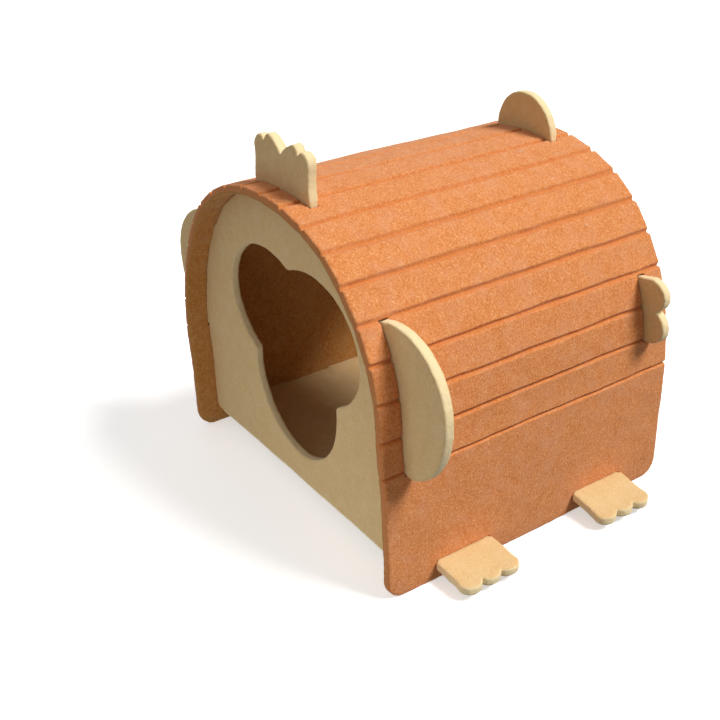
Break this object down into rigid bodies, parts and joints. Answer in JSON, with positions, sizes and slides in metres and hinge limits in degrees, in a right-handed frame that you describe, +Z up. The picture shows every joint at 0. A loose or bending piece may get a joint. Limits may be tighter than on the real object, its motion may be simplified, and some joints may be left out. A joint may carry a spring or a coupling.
{
  "type": "felt cat cave",
  "caption": "Tunnel-shaped pet house: a grooved felt wrap over felt end panels with lobed openings, held by tabs shaped like a comb, wings and feet.",
  "frame": {"origin": "on the ground, under the middle of the tunnel", "axes": "+Z up, -Y out of the front opening, +X to the right as seen from the front"},
  "size_m": [0.52, 0.38, 0.4175],
  "materials": {
    "orange_felt": "matt needle-punched felt",
    "cream_felt": "matt needle-punched felt"
  },
  "bodies": {
    "root": {"wrap": "orange_felt", "front_panel": "cream_felt", "rear_panel": "cream_felt", "floor": "cream_felt"}
  },
  "joints": []
}
